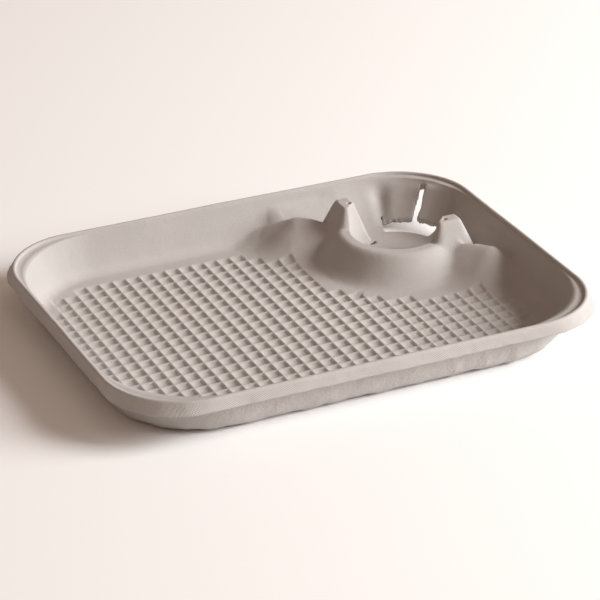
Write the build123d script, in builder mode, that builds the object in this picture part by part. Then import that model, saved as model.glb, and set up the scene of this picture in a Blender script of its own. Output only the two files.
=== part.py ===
from build123d import *
import math
import os

os.makedirs("parts", exist_ok=True)

# Driving dimensions, mm. X runs along the long side, +Y to the back, +Z up; Z = 0 is the table.
length = 321.0            # over the raised lip, along X
width = 247.4             # over the raised lip, along Y
height = 30.0             # table to the top of the lip
sheet = 2.2               # thickness of the moulded fibre
floor_top = 2.4           # table to the crests of the floor ribs
draft = 18.0              # lean of the walls, degrees

rim_corner = 51.0         # plan radius of the lip
lip_width = 3.0
lip_rise = 1.7            # lip above the land inside it
lip_bevel = 1.0
skirt_height = 8.4        # lip top to the lower edge of the skirt
skirt_flare = 1.4
skirt_corner = 45.0
wall_inset = 4.0          # outside of the lip to the top of the inner wall
wall_corner = 64.5        # plan radius of the inner wall at the land
cove = 9.0                # radius of the cove where walls meet floor
toe = 4.0                 # bevel around the outside of the foot

rib_pitch = 9.2
rib_width = 1.7
pocket_depth = 0.9
pocket_columns = 29
pocket_rows = 21
field_corner = 30.0       # plan radius of the ribbed field

cup_x = 96.0
cup_y = 54.0
cup_floor_radius = 26.5
cup_top_radius = 31.0     # at the height of the post tops
ring_height = 20.4
ring_top_width = 3.6      # crest of the ring, outside the cup's clearance
ring_slope_run = 15.0     # plan run of the ring's outer face, crest to table
ring_cove_run = 11.5      # plan run of the cove beyond it
ring_cove_rise = 6.0

shelf_height = 14.2       # low shelf behind the two arms
arm_height = 20.4         # arm crest next to the ring
arm_end_height = 12.0     # arm crest where it dies into the wall
arm_top_width = 5.0
arm_lean = 38.0           # lean of the arm flanks, degrees
arm_start = (-24.0, 28.0)     # from the cup axis, left arm; the right arm is its mirror image
arm_knee = (-50.0, 44.0)
arm_end = (-69.0, 59.0)

pad_spread = 57.0         # half angle of the flared wall about the corner diagonal
pad_under = 54.4          # the same for the hollow beneath it
flare_foot = 34.0         # radius of the flared wall's foot about the corner's centre
post_height = 33.0
post_gap = 4.0            # cup's clearance to post axis, at the post tops
post_turn = 85.6          # post axes from the corner diagonal, degrees
post_top = 10.0
post_lean = 24.0
post_hole = 3.4

slot_angle = 3.4          # slot that parts the two flaps, degrees
slot_outer = 61.0
side_slot_angle = 2.2
side_slot_outer = 49.0
window_inner = 35.0       # radii of the opening under the flaps
window_outer = 42.5
window_spread = 26.0      # half angle of the opening
drain_angle = 104.0
drain_size = (7.0, 2.4)

slope = math.tan(math.radians(draft))
wall_thick = sheet / math.cos(math.radians(draft))
land_z = height - lip_rise
skirt_z = height - skirt_height
diagonal = 45.0           # bearing of the tray's corner from the cup axis

cup = Vector(cup_x, cup_y, 0)
ring_crest_out = cup_top_radius + ring_top_width - 1
ring_foot = ring_crest_out + ring_slope_run
ring_cove_out = ring_foot + ring_cove_run
post_reach = cup_top_radius + post_gap
flare_run = (wall_corner - flare_foot) / (land_z - floor_top)
# centre of the inner wall's corner arc
corner = Vector(length / 2 - wall_inset - wall_corner, width / 2 - wall_inset - wall_corner, 0)


def outline(inset, corner):
    """Rounded rectangle at a given distance inside the lip's outer edge."""
    RectangleRounded(length - 2 * inset, width - 2 * inset, corner)


def stack(*levels):
    """Solid through rounded rectangles, each given as height, inset and corner radius."""
    with BuildPart() as body:
        for z, inset, corner in levels:
            with BuildSketch(Plane.XY.offset(z)):
                outline(inset, corner)
        loft(ruled=True)
    return body.part


def level(z, grow):
    """Height, inset and corner of the wall face at z, moved outward by grow."""
    run = (land_z - z) * slope
    return z, wall_inset - grow + run, wall_corner + grow - run


def wedge(start, stop, z_low, z_high, reach=120.0):
    """Upright sector about the cup axis, between two bearings in degrees."""
    steps = max(1, round(abs(stop - start) / 20))
    points = [(cup.X, cup.Y)]
    for k in range(steps + 1):
        angle = math.radians(start + (stop - start) * k / steps)
        points.append((cup.X + reach * math.cos(angle), cup.Y + reach * math.sin(angle)))
    with BuildPart() as sector:
        with BuildSketch(Plane.XY.offset(z_low)):
            with BuildLine():
                Polyline(*points, close=True)
            make_face()
        extrude(amount=z_high - z_low)
    return sector.part


def cone(r_low, r_high, z_low, z_high):
    """Cone on the cup axis."""
    with BuildPart() as body:
        with Locations((cup.X, cup.Y, z_low)):
            Cone(r_low, r_high, z_high - z_low, align=(Align.CENTER, Align.CENTER, Align.MIN))
    return body.part


def flare_cone(grow, z_low, z_high):
    """Cone about the centre of the wall's corner, meeting its arc at the land."""
    low, high = (flare_foot + flare_run * (z - floor_top) + grow for z in (z_low, z_high))
    with BuildPart() as body:
        with Locations((corner.X, corner.Y, z_low)):
            Cone(low, high, z_high - z_low, align=(Align.CENTER, Align.CENTER, Align.MIN))
    return body.part


def arc_slot(start, stop, r_in, r_out):
    """Cutter over a sector of a ring about the cup axis, through the flared wall."""
    with BuildPart() as body:
        with Locations((cup.X, cup.Y, 12)):
            Cylinder(r_out, 28)
            Cylinder(r_in, 30, mode=Mode.SUBTRACT)
        add(wedge(start, stop, -1, land_z - sheet), mode=Mode.INTERSECT)
    return body.part


def swap(point):
    """Mirror a point, given from the cup axis, in the corner diagonal."""
    return point[1], point[0]


def same(point):
    return point


def ridge(start, stop, h_start, h_stop, half_top):
    """Straight ridge with leaning flanks between two points given from the cup axis."""
    dx, dy = stop[0] - start[0], stop[1] - start[1]
    spread = math.tan(math.radians(arm_lean))
    with BuildPart() as body:
        for point, top in ((start, h_start), (stop, h_stop)):
            plane = Plane(origin=(cup.X + point[0], cup.Y + point[1], 0),
                          x_dir=(-dy, dx, 0), z_dir=(dx, dy, 0))
            half_low = half_top + top * spread
            with BuildSketch(plane):
                with BuildLine():
                    Polyline((-half_low, 0), (half_low, 0), (half_top, top), (-half_top, top), close=True)
                make_face()
        loft(ruled=True)
    return body.part


def arm(turn, drop, trim):
    """One arm of the block: ring to knee, knee to wall, with a cone at the knee."""
    start, knee, end = turn(arm_start), turn(arm_knee), turn(arm_end)
    half = arm_top_width / 2 - trim
    top = arm_height - drop
    with BuildPart() as body:
        add(ridge(start, knee, top, top, half))
        add(ridge(knee, end, top, arm_end_height - drop, half))
        with Locations((cup.X + knee[0], cup.Y + knee[1], 0)):
            Cone(half + top * math.tan(math.radians(arm_lean)), half, top,
                 align=(Align.CENTER, Align.CENTER, Align.MIN))
    return body.part


def post_spot(sign):
    """Plan position of a post; sign +1 is the one near the right wall."""
    angle = math.radians(diagonal - sign * post_turn)
    return cup.X + post_reach * math.cos(angle), cup.Y + post_reach * math.sin(angle)


def post(sign, drop, trim):
    """Four-sided post with bevelled corners."""
    top = post_height - drop
    half = post_top / 2 - trim
    low = half + top * math.tan(math.radians(post_lean))
    with BuildPart() as body:
        for z, size in ((0, low), (top, half)):
            cut = size * 0.45
            with BuildSketch(Plane.XY.offset(z)):
                with Locations(post_spot(sign)):
                    corners = Rectangle(2 * size, 2 * size)
                chamfer(corners.vertices(), cut)
        loft(ruled=True)
    return body.part


def behind_arms(z_low, z_high):
    """Prism over the corner behind the arm crests, carried out past the walls."""
    left = [arm_start, arm_knee, arm_end, (arm_end[0], 110.0)]
    right = [swap(p) for p in reversed(left)]
    points = [(cup.X + p[0], cup.Y + p[1]) for p in left + [(110.0, 110.0)] + right]
    with BuildPart() as body:
        with BuildSketch(Plane.XY.offset(z_low)):
            with BuildLine():
                Polyline(*points, close=True)
            make_face()
        extrude(amount=z_high - z_low)
    return body.part


def in_arm(u, v):
    """True where a point given from the cup axis is on or behind the left arm's foot."""
    foot = arm_height * math.tan(math.radians(arm_lean)) + arm_top_width / 2 + rib_pitch / 2 + 5
    for first, last in ((arm_start, arm_knee), (arm_knee, arm_end)):
        dx, dy = last[0] - first[0], last[1] - first[1]
        span = math.hypot(dx, dy)
        along = ((u - first[0]) * dx + (v - first[1]) * dy) / span
        off = abs((u - first[0]) * dy - (v - first[1]) * dx) / span
        if -foot < along < span + foot and off < foot:
            return True
    return u > arm_end[0] and v > arm_start[1]


def pocket_spots():
    """Pocket centres on the square grid that clear the walls and the block."""
    half = rib_pitch / 2
    inner_x = pocket_columns * half - field_corner
    inner_y = pocket_rows * half - field_corner
    spots = []
    for column in range(pocket_columns):
        for row in range(pocket_rows):
            x = (column - (pocket_columns - 1) / 2) * rib_pitch
            y = (row - (pocket_rows - 1) / 2) * rib_pitch
            over_x = max(abs(x) + half * 0.8 - inner_x, 0)
            over_y = max(abs(y) + half * 0.8 - inner_y, 0)
            u, v = x - cup.X, y - cup.Y
            on_field = math.hypot(over_x, over_y) <= field_corner
            off_ring = math.hypot(u, v) > ring_cove_out + half + 1
            if on_field and off_ring and not in_arm(u, v) and not in_arm(v, u):
                spots.append((x, y))
    return spots


# The space inside the walls; two bevels follow the cove where it meets the floor.
half_turn = math.radians(90 - draft) / 2
reach = cove * math.tan(half_turn)
mid = Vector(cove * math.sin(half_turn) - reach, cove * (1 - math.cos(half_turn)), 0)
foot = level(floor_top, 0)
upper = level(floor_top + reach * math.cos(math.radians(draft)), 0)
cavity = stack((floor_top, foot[1] + reach, foot[2] - reach),
               (floor_top + mid.Y, foot[1] - mid.X, foot[2] + mid.X),
               upper, level(land_z, 0))

# Clearance for the cup, and the same grown by one sheet.
lean_cup = (cup_top_radius - cup_floor_radius) / (post_height - floor_top)
over = post_height + 10
clearance = cone(cup_floor_radius, cup_floor_radius + lean_cup * (over - floor_top), floor_top, over)
guard = cone(cup_floor_radius + sheet - lean_cup * floor_top,
             cup_floor_radius + sheet + lean_cup * (over - floor_top), 0, over)

# The flared wall that closes the corner behind the cup: the space in front of it, and its back.
flare_grow = sheet * math.hypot(1, flare_run)
with BuildPart() as flare:
    add(flare_cone(0, floor_top, land_z + 0.5))
    add(wedge(diagonal - 86, diagonal + 86, 0, height + 5), mode=Mode.INTERSECT)
with BuildPart() as flare_back:
    add(flare_cone(flare_grow, 0, land_z + 2))
    add(wedge(diagonal - 90, diagonal + 90, -1, height + 5), mode=Mode.INTERSECT)

# One floor pocket, wider at the top.
with BuildPart() as pocket:
    with BuildSketch(Plane.XY.offset(floor_top - pocket_depth)):
        Rectangle(rib_pitch - rib_width - 1.4, rib_pitch - rib_width - 1.4)
    with BuildSketch(Plane.XY.offset(floor_top)):
        Rectangle(rib_pitch - rib_width, rib_pitch - rib_width)
    loft(ruled=True)

with BuildPart() as carrier_tray:
    # rolled rim: skirt, land and raised lip
    add(stack((skirt_z, -skirt_flare, skirt_corner), (height - lip_bevel, 0, rim_corner),
              (height, lip_bevel, rim_corner - lip_bevel)))
    add(stack((skirt_z, sheet - skirt_flare, rim_corner - sheet + skirt_flare),
              (land_z - sheet, sheet, rim_corner - sheet)), mode=Mode.SUBTRACT)
    add(stack((land_z, lip_width, rim_corner - lip_width), (height + 1, lip_width, rim_corner - lip_width)),
        mode=Mode.SUBTRACT)

    # walls and floor
    base = level(0, wall_thick)
    add(stack((0, base[1] + toe, base[2] - toe), level(toe, wall_thick), level(land_z, wall_thick)))
    add(cavity, mode=Mode.SUBTRACT)

    # block: shelf, arms and the pad for the flared wall, kept inside the outer wall face
    with BuildPart():
        add(behind_arms(0, shelf_height))
        add(arm(same, 0, 0))
        add(arm(swap, 0, 0))
        add(wedge(diagonal - pad_spread, diagonal + pad_spread, 0, land_z))
        add(stack(level(0, wall_thick), level(land_z, wall_thick)), mode=Mode.INTERSECT)
    add(cone(ring_foot, ring_crest_out, 0, ring_height))
    add(cone(ring_cove_out, ring_foot - ring_cove_rise * 0.6, floor_top - 1, floor_top + ring_cove_rise))
    add(flare.part, mode=Mode.SUBTRACT)
    add(post(1, 0, 0))
    add(post(-1, 0, 0))
    add(clearance, mode=Mode.SUBTRACT)

    # underside of the block: everything below the sheet, open to the table and to the back
    with BuildPart(mode=Mode.SUBTRACT):
        add(behind_arms(-1, shelf_height - sheet))
        add(arm(same, sheet, 1.4))
        add(arm(swap, sheet, 1.4))
        add(cone(ring_foot - sheet, ring_crest_out - sheet, -1, ring_height - sheet))
        add(wedge(diagonal - pad_under, diagonal + pad_under, -1, skirt_z - 0.6))
        with BuildPart():
            add(wedge(diagonal - pad_under, diagonal + pad_under, skirt_z - 1, land_z - sheet))
            add(stack(level(0, wall_thick + 1), level(land_z, wall_thick + 1)), mode=Mode.INTERSECT)
        add(flare_back.part, mode=Mode.SUBTRACT)
        add(post(1, sheet, 1.6))
        add(post(-1, sheet, 1.6))
        add(guard, mode=Mode.SUBTRACT)

    # vent holes in the post tops
    for sign in (1, -1):
        with Locations((*post_spot(sign), post_height)):
            Cylinder(post_hole / 2, 12, mode=Mode.SUBTRACT)

    # opening under the flaps, the slot between them, a short slit at each side, and the drain
    with BuildPart(mode=Mode.SUBTRACT):
        add(arc_slot(diagonal - window_spread, diagonal + window_spread, window_inner, window_outer))
        add(arc_slot(diagonal - slot_angle / 2, diagonal + slot_angle / 2, window_inner + 1, slot_outer))
        for turn in (diagonal - window_spread, diagonal + window_spread):
            add(arc_slot(turn - side_slot_angle / 2, turn + side_slot_angle / 2, window_inner + 1, side_slot_outer))
    with Locations(Location((cup.X, cup.Y, 0), (0, 0, drain_angle))):
        with Locations((cup_floor_radius - 4, 0, 1)):
            Box(drain_size[1], drain_size[0], 6, mode=Mode.SUBTRACT)

    # ribbed floor
    with Locations(*pocket_spots()):
        add(pocket.part, mode=Mode.SUBTRACT)

carrier_tray.part.label = "carrier_tray"
export_step(carrier_tray.part, "parts/carrier_tray.step")
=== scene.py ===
"""Visual model of a moulded-pulp carry tray with a cup well in one corner, for Blender 4.5.

Lengths are worked out in millimetres in the tray's own frame and turned into metres when the
mesh is made. The whole tray is one closed sheet: a plan lattice gives every vertex its place
seen from above, and two relief functions lift it to the upper and the under face.
"""

import logging
import math
from dataclasses import dataclass, field
from enum import Enum
from typing import ClassVar

import bpy
import numpy as np
from mathutils import Matrix, Vector


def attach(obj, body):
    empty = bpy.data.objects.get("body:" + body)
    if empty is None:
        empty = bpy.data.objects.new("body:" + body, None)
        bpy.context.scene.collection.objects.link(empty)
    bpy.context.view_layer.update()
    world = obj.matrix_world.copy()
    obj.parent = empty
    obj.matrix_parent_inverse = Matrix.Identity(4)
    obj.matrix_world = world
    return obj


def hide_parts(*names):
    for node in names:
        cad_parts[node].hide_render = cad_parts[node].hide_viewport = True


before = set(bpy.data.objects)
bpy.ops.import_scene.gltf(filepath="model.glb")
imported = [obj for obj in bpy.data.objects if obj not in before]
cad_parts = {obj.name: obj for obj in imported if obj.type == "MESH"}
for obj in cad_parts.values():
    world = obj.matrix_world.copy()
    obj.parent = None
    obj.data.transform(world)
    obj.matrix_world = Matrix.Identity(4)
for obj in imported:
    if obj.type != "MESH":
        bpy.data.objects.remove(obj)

log = logging.getLogger("carry_tray")

Array = np.ndarray
Tree = bpy.types.NodeTree
Socket = bpy.types.NodeSocket

MM = 0.001
NEAR = 1e-6
DIAGONAL = 45.0


# Dimensions


@dataclass(frozen=True)
class TrayDimensions:
    """Sizes of the moulding in millimetres; angles in degrees.

    Points of the block, such as the arm's crest line, are given from the cup's axis. The window,
    the slot and the wells are distances from that axis. slope values are rise over run.
    """

    length: float = 321.0
    width: float = 247.4
    height: float = 30.0
    sheet: float = 2.2
    floor_top: float = 2.4
    draft: float = 18.0
    lip_rise: float = 1.7
    wall_inset: float = 4.0
    wall_corner: float = 64.5
    corner_push: float = 3.4
    corner_pitches: int = 5
    cove: float = 9.0
    rib_pitch: float = 9.2
    rib_half_top: float = 0.3
    rib_half_foot: float = 1.25
    pocket_depth: float = 1.25
    pocket_dish: float = 0.15
    pocket_dish_span: tuple[float, float] = (1.2, 4.6)
    pocket_columns: int = 30
    pocket_rows: int = 21
    field_corner: float = 30.0
    groove_depth: float = 0.6
    cup_x: float = 96.0
    cup_y: float = 54.0
    well_radius: float = 26.5
    well_slope: float = 6.8
    well_cove: float = 2.4
    well_cove_reach: float = 2.07
    ring_height: float = 20.4
    ring_crest_out: float = 37.2
    ring_slope: float = 1.15
    ring_cove_out: float = 60.1
    shelf_height: float = 14.2
    shelf_fall: float = 2.0
    mound_height: float = 4.0
    mound_spot: tuple[float, float] = (-23.0, 46.0)
    mound_spread: float = 90.0
    arm_height: float = 20.4
    arm_end_height: float = 12.0
    arm_half_top: float = 2.5
    arm_lean: float = 57.0
    arm_clear: float = 28.0
    arm_line: tuple[tuple[float, float], ...] = ((-24.0, 28.0), (-50.0, 44.0), (-69.0, 59.0))
    pad_spread: float = 57.0
    flare_foot: float = 30.0
    flare_power: float = 2.2
    flare_fall: float = 12.0
    post_height: float = 33.0
    post_reach: float = 35.0
    post_turn: float = 85.6
    post_half: tuple[float, float] = (7.8, 4.9)
    post_corner: float = 2.6
    post_lean: float = 24.0
    post_hole: float = 1.5
    window_inner: float = 34.0
    window_outer: float = 44.8
    window_spread: float = 25.5
    slot_outer: float = 63.8
    inset_start: tuple[float, float] = (23.5, -13.0)

    @property
    def core_x(self) -> float:
        """Half the length of the rectangle on which the inner wall's corner arcs are centred."""
        return self.length / 2 - self.wall_inset - self.wall_corner

    @property
    def core_y(self) -> float:
        """Half the width of that rectangle."""
        return self.width / 2 - self.wall_inset - self.wall_corner

    def push(self, x: Array, y: Array) -> Array:
        """Outward shift of the wall behind the cup: the push times the squared sine of twice the bearing.

        Args:
            x, y: plan position in the tray's frame.

        Returns:
            The shift in millimetres, 0 along the straight walls and greatest on the diagonal.
        """
        p, q = np.maximum(x - self.core_x, 0.0), np.maximum(y - self.core_y, 0.0)
        return self.corner_push * (2.0 * p * q / np.maximum(p * p + q * q, 1e-9)) ** 2

    def about_cup(self, x: Array, y: Array) -> tuple[Array, ...]:
        """Position from the cup's axis.

        Args:
            x, y: plan position in the tray's frame.

        Returns:
            The x and y from the axis, the distance, and the angle from the tray's diagonal in degrees.
        """
        u, v = x - self.cup_x, y - self.cup_y
        return u, v, np.hypot(u, v), turned(np.degrees(np.arctan2(v, u)) - DIAGONAL)

    def post_spot(self, sign: int) -> tuple[float, float]:
        """Post axis from the cup axis: post_turn to one side of the diagonal, post_reach away.

        Args:
            sign: +1 for the post near the right wall, -1 for the one near the back wall.

        Returns:
            The spot's x and y from the cup's axis.
        """
        angle = math.radians(DIAGONAL - sign * self.post_turn)
        return self.post_reach * math.cos(angle), self.post_reach * math.sin(angle)

    @property
    def square(self) -> float:
        """Distance outside the core rectangle at which the pushed-out corner begins."""
        return self.corner_pitches * self.rib_pitch

    @property
    def land(self) -> float:
        """Height of the narrow land between wall and lip."""
        return self.height - self.lip_rise


@dataclass(frozen=True)
class Rounding:
    """Spans over which two forms of the block run into each other, in millimetres of height.

    The block's own fillet fades between two heights and between two angles from the diagonal.
    """

    ring_edge: float = 3.2
    ring_foot: float = 5.0
    arm_edge: float = 3.5
    arm_bend: float = 1.0
    post_edge: float = 2.2
    post_foot: float = 2.5
    shelf_foot: float = 3.0
    flare_foot: float = 2.0
    flare_end: float = 1.6
    well_edge: float = 2.2
    block_foot: float = 6.0
    sharp: float = 0.05
    fades_by_height: tuple[float, float] = (12.0, 26.0)
    fades_by_side: tuple[float, float] = (50.0, 70.0)


@dataclass(frozen=True)
class FlapForm:
    """Bulge and creases of the two flaps: angles from the tray's diagonal, distances in millimetres."""

    split: float = 0.3
    right_bulge: float = 2.6
    left_bulge: float = 1.4
    bulge_half: float = 13.0
    crease_at: float = 28.0
    crease_half: float = 5.0
    crease_depth: float = 4.0
    grows_over: tuple[float, float] = (37.0, 45.0)
    fades_over: tuple[float, float] = (60.0, 65.5)


@dataclass(frozen=True)
class InsetForm:
    """How the flared wall begins along a side wall, lies flush with its top and ends before the posts.

    runs_in is a distance along the wall and flush_height a height, both in millimetres. The sides
    are angles from the tray's diagonal, seen from the cup's axis.
    """

    runs_in: tuple[float, float] = (-16.0, 8.0)
    drop: float = 7.0
    flush_depth: float = 1.9
    flush_height: tuple[float, float] = (20.0, 26.0)
    flush_side: tuple[float, float] = (58.0, 68.0)
    end_side: float = 88.0
    end_slope: float = 4.0
    pad_blend: float = 3.0


# Number tools


def smooth_max(a: Array, b: Array, k: float) -> Array:
    """Larger of two heights, with a fillet where they are closer than k.

    Between them the height is a weighted mean, with a parabola added that is k / 4 high where both
    are equal.

    Args:
        a, b: the two heights.
        k: the height difference at which the fillet ends.

    Returns:
        The blended height.
    """
    t = np.clip(0.5 + 0.5 * (a - b) / k, 0.0, 1.0)
    return b + (a - b) * t + k * t * (1.0 - t)


def smooth_min(a: Array, b: Array, k: float) -> Array:
    """Smaller of two heights, with the edge between them rounded over k."""
    return -smooth_max(-a, -b, k)


def step(value: Array, low: float, high: float) -> Array:
    """0 below low, 1 above high, and an S-curve between."""
    t = np.clip((value - low) / (high - low), 0.0, 1.0)
    return t * t * (3.0 - 2.0 * t)


def turned(value: Array) -> Array:
    """Angle in degrees brought between -180 and 180."""
    return (value + 180.0) % 360.0 - 180.0


class Felt:
    """Smooth random relief: a lattice of random values, blended with an S-curve between them."""

    SIDE = 32

    def __init__(self, seed: int) -> None:
        """Draws the lattice's values from the seed."""
        self.values = np.random.default_rng(seed).uniform(-1.0, 1.0, (self.SIDE,) * 3)

    def __call__(self, points: Array, grain: float) -> Array:
        """Relief between -1 and 1.

        Args:
            points: positions in millimetres, one row each.
            grain: distance between lattice values, in millimetres.

        Returns:
            One value for each point.
        """
        cell = points / grain
        low = np.floor(cell).astype(int)
        t = step(cell - low, 0.0, 1.0)
        total = np.zeros(len(points))
        for corner in range(8):
            pick = np.array([corner >> axis & 1 for axis in range(3)])
            share = np.prod(np.where(pick, t, 1.0 - t), axis=1)
            i, j, k = ((low + pick) % self.SIDE).T
            total += share * self.values[i, j, k]
        return total


# Relief


@dataclass(frozen=True)
class Relief:
    """Height of the moulding's two faces over any point of the plan.

    grow is 0 for the upper face and the sheet's thickness for the under face: each form is moved
    along its own slope's normal by that much, so the sheet keeps its thickness on steep parts.
    x and y are in the tray's frame, u and v are the same from the cup's axis, r is the distance
    from that axis, and away is the angle from the diagonal. All are arrays of one length.

    DEEP is a height below every form. POCKET_REACH is the share of half a pitch that has to lie in
    the field, CLEARANCE the gap between pockets and ring, and FLOOR_SPAN the height over which the
    grooves fade above the floor.
    """

    size: TrayDimensions
    rounding: Rounding = Rounding()
    flaps: FlapForm = FlapForm()
    inset: InsetForm = InsetForm()

    DEEP: ClassVar[float] = -40.0
    POCKET_REACH: ClassVar[float] = 0.8
    CLEARANCE: ClassVar[float] = 1.0
    FLOOR_SPAN: ClassVar[float] = 0.5

    def offset(self, x: Array, y: Array) -> Array:
        """Distance outside the rectangle on which the corner arcs of the walls are centred.

        Behind the cup the wall stands corner_push further out on the diagonal, less to both sides
        as the square of the sine of twice the bearing; the distance is scaled back by that much.

        Args:
            x, y: plan position.

        Returns:
            The distance, 0 inside the rectangle and wall_corner at the walls' top edge.
        """
        s = self.size
        over_x, over_y = np.maximum(np.abs(x) - s.core_x, 0.0), np.maximum(np.abs(y) - s.core_y, 0.0)
        away = np.hypot(over_x, over_y)
        run = s.wall_corner - s.square
        return np.minimum(away, s.square + (away - s.square) * run / (run + s.push(x, y)))

    def coved(self, run: Array, slope: float, radius: float, low: float) -> Array:
        """Flat at low, then an arc that starts at run 0, then a straight slope.

        The arc's height is the radius less the root of the radius squared less the run squared.

        Args:
            run: distance outward from the arc's start.
            slope: rise over run of the straight part.
            radius: radius of the arc.
            low: height of the flat part.

        Returns:
            The height of the profile.
        """
        angle = math.atan(slope)
        end = radius * math.sin(angle)
        arc = low + radius - np.sqrt(np.maximum(radius**2 - np.clip(run, 0.0, end) ** 2, 0.0))
        return arc + np.maximum(run - end, 0.0) * slope

    def walls(self, offset: Array, grow: float) -> Array:
        """Floor, cove and sloped wall as one profile over the distance from the core rectangle.

        The under face's cove has a radius that is larger by the floor's height.

        Args:
            offset: distance outside the core rectangle.
            grow: 0 for the upper face, the sheet's thickness for the under face.

        Returns:
            The height, which runs on above the land past the wall's top edge.
        """
        s = self.size
        slope = 1.0 / math.tan(math.radians(s.draft))
        reach = s.cove * math.tan(math.atan(slope) / 2)
        foot = s.wall_corner - (s.land - s.floor_top) / slope
        radius = s.cove + grow * s.floor_top / s.sheet
        low = s.floor_top if grow == 0 else 0.0
        return self.coved(offset - (foot - reach), slope, radius, low)

    def incline(self, run: Array, slope: float, top: float, grow: float, k: float) -> Array:
        """Flat top that falls off at a slope from run 0 on, its edge rounded over k.

        Args:
            run: distance outside the top's edge, negative on the top.
            slope: fall over run.
            top: height of the flat top.
            grow: thickness by which the form is moved inwards.
            k: span of the rounded edge.

        Returns:
            The height of the form, which goes on falling below the floor.
        """
        fall = top - run * slope - grow * math.hypot(1.0, slope)
        return smooth_min(fall, np.full_like(fall, top - grow), k)

    def ring(self, r: Array, grow: float) -> Array:
        """Raised ring round the cup, its outer face sloping down to the ribbed field.

        Args:
            r: distance from the cup's axis.
            grow: thickness by which the form is moved inwards.

        Returns:
            The height of the ring, level inside its crest and falling outside it.
        """
        s = self.size
        edge = self.rounding.ring_edge
        return self.incline(r - s.ring_crest_out, s.ring_slope, s.ring_height, grow, edge)

    def arm(self, u: Array, v: Array, grow: float) -> Array:
        """One arm: a ridge along two straight pieces of crest, level and then falling to the wall.

        Each piece is as high as its crest less a slope times the distance from the crest line. The
        other arm is the same with u and v exchanged.

        Args:
            u, v: plan position from the cup's axis.
            grow: thickness by which the form is moved inwards.

        Returns:
            The height of the arm, which goes on falling below the floor.
        """
        s = self.size
        slope = 1.0 / math.tan(math.radians(s.arm_lean))
        crests = ((s.arm_height, s.arm_height), (s.arm_height, s.arm_end_height))
        total = np.full_like(u, self.DEEP)
        for (a, b), (high, low) in zip(zip(s.arm_line, s.arm_line[1:]), crests):
            dx, dy = b[0] - a[0], b[1] - a[1]
            t = np.clip(((u - a[0]) * dx + (v - a[1]) * dy) / (dx * dx + dy * dy), 0.0, 1.0)
            away = np.hypot(u - a[0] - t * dx, v - a[1] - t * dy)
            crest = high + (low - high) * t
            fall = crest - (away - s.arm_half_top) * slope - grow * math.hypot(1.0, slope)
            ridge = smooth_min(fall, crest - grow, self.rounding.arm_edge)
            total = smooth_max(total, ridge, self.rounding.arm_bend)
        return total

    def behind(self, u: Array, v: Array) -> Array:
        """Signed distance behind the crest line of the left arm; positive on the corner's side.

        It is the smaller of the distances to the line's two pieces, or their sum in front of both.

        Args:
            u, v: plan position from the cup's axis.

        Returns:
            The signed distance.
        """
        line = self.size.arm_line
        (ax, ay), (bx, by), (cx, cy) = line
        first = ((u - ax) * (by - ay) - (v - ay) * (bx - ax)) / math.hypot(bx - ax, by - ay)
        second = ((u - bx) * (cy - by) - (v - by) * (cx - bx)) / math.hypot(cx - bx, cy - by)
        return np.maximum(np.minimum(first, second), np.minimum(first, 0.0) + np.minimum(second, 0.0))

    def post(self, u: Array, v: Array, sign: int, grow: float) -> Array:
        """Oblong post with rounded corners, its long side along the nearer wall's normal.

        Args:
            u, v: plan position from the cup's axis.
            sign: +1 for the post near the right wall, -1 for the one near the back wall.
            grow: thickness by which the form is moved inwards.

        Returns:
            The height of the post, which goes on falling below the floor.
        """
        s = self.size
        centre = s.post_spot(sign)
        half = s.post_half if sign > 0 else s.post_half[::-1]
        slope = 1.0 / math.tan(math.radians(s.post_lean))
        out = [np.maximum(np.abs(value - middle) - (side - s.post_corner), 0.0)
               for value, middle, side in zip((u, v), centre, half)]
        away = (out[0] ** 3 + out[1] ** 3) ** (1.0 / 3.0) - s.post_corner
        return self.incline(away, slope, s.post_height, grow, self.rounding.post_edge)

    def flared(self, offset: Array, bulge: Array, grow: float) -> Array:
        """Flared wall: a power curve of the distance outside the core rectangle, up to the land.

        Args:
            offset: distance outside the core rectangle.
            bulge: how far the wall stands out toward the cup.
            grow: thickness by which the form is moved inwards.

        Returns:
            The height, which falls below the floor inside the wall's foot.
        """
        s = self.size
        run = s.wall_corner - s.flare_foot
        t = (offset + bulge - s.flare_foot) / run
        rise = (s.land - s.floor_top) * np.maximum(t, 0.0) ** s.flare_power
        slope = s.flare_power * rise / np.maximum(t * run, 1.0)
        return s.floor_top + rise + s.flare_fall * np.minimum(t, 0.0) - grow * np.hypot(1.0, slope)

    def flap(self, away: Array, r: Array) -> Array:
        """How far the flared wall stands out toward the cup, in millimetres.

        Each flap bulges as a bell curve about the diagonal, and a crease stands back at its outer
        side as a narrower bell curve. Both grow and fade with the distance from the cup's axis.

        Args:
            away: angle from the diagonal.
            r: distance from the cup's axis.

        Returns:
            The distance, negative in the creases.
        """
        f = self.flaps
        crease = f.crease_depth * np.exp(-((np.abs(away) - f.crease_at) / f.crease_half) ** 2)
        bulge = np.where(away < f.split, f.right_bulge, f.left_bulge)
        proud = bulge * np.exp(-(away / f.bulge_half) ** 2)
        return (proud - crease) * step(r, *f.grows_over) * (1.0 - step(r, *f.fades_over))

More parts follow.
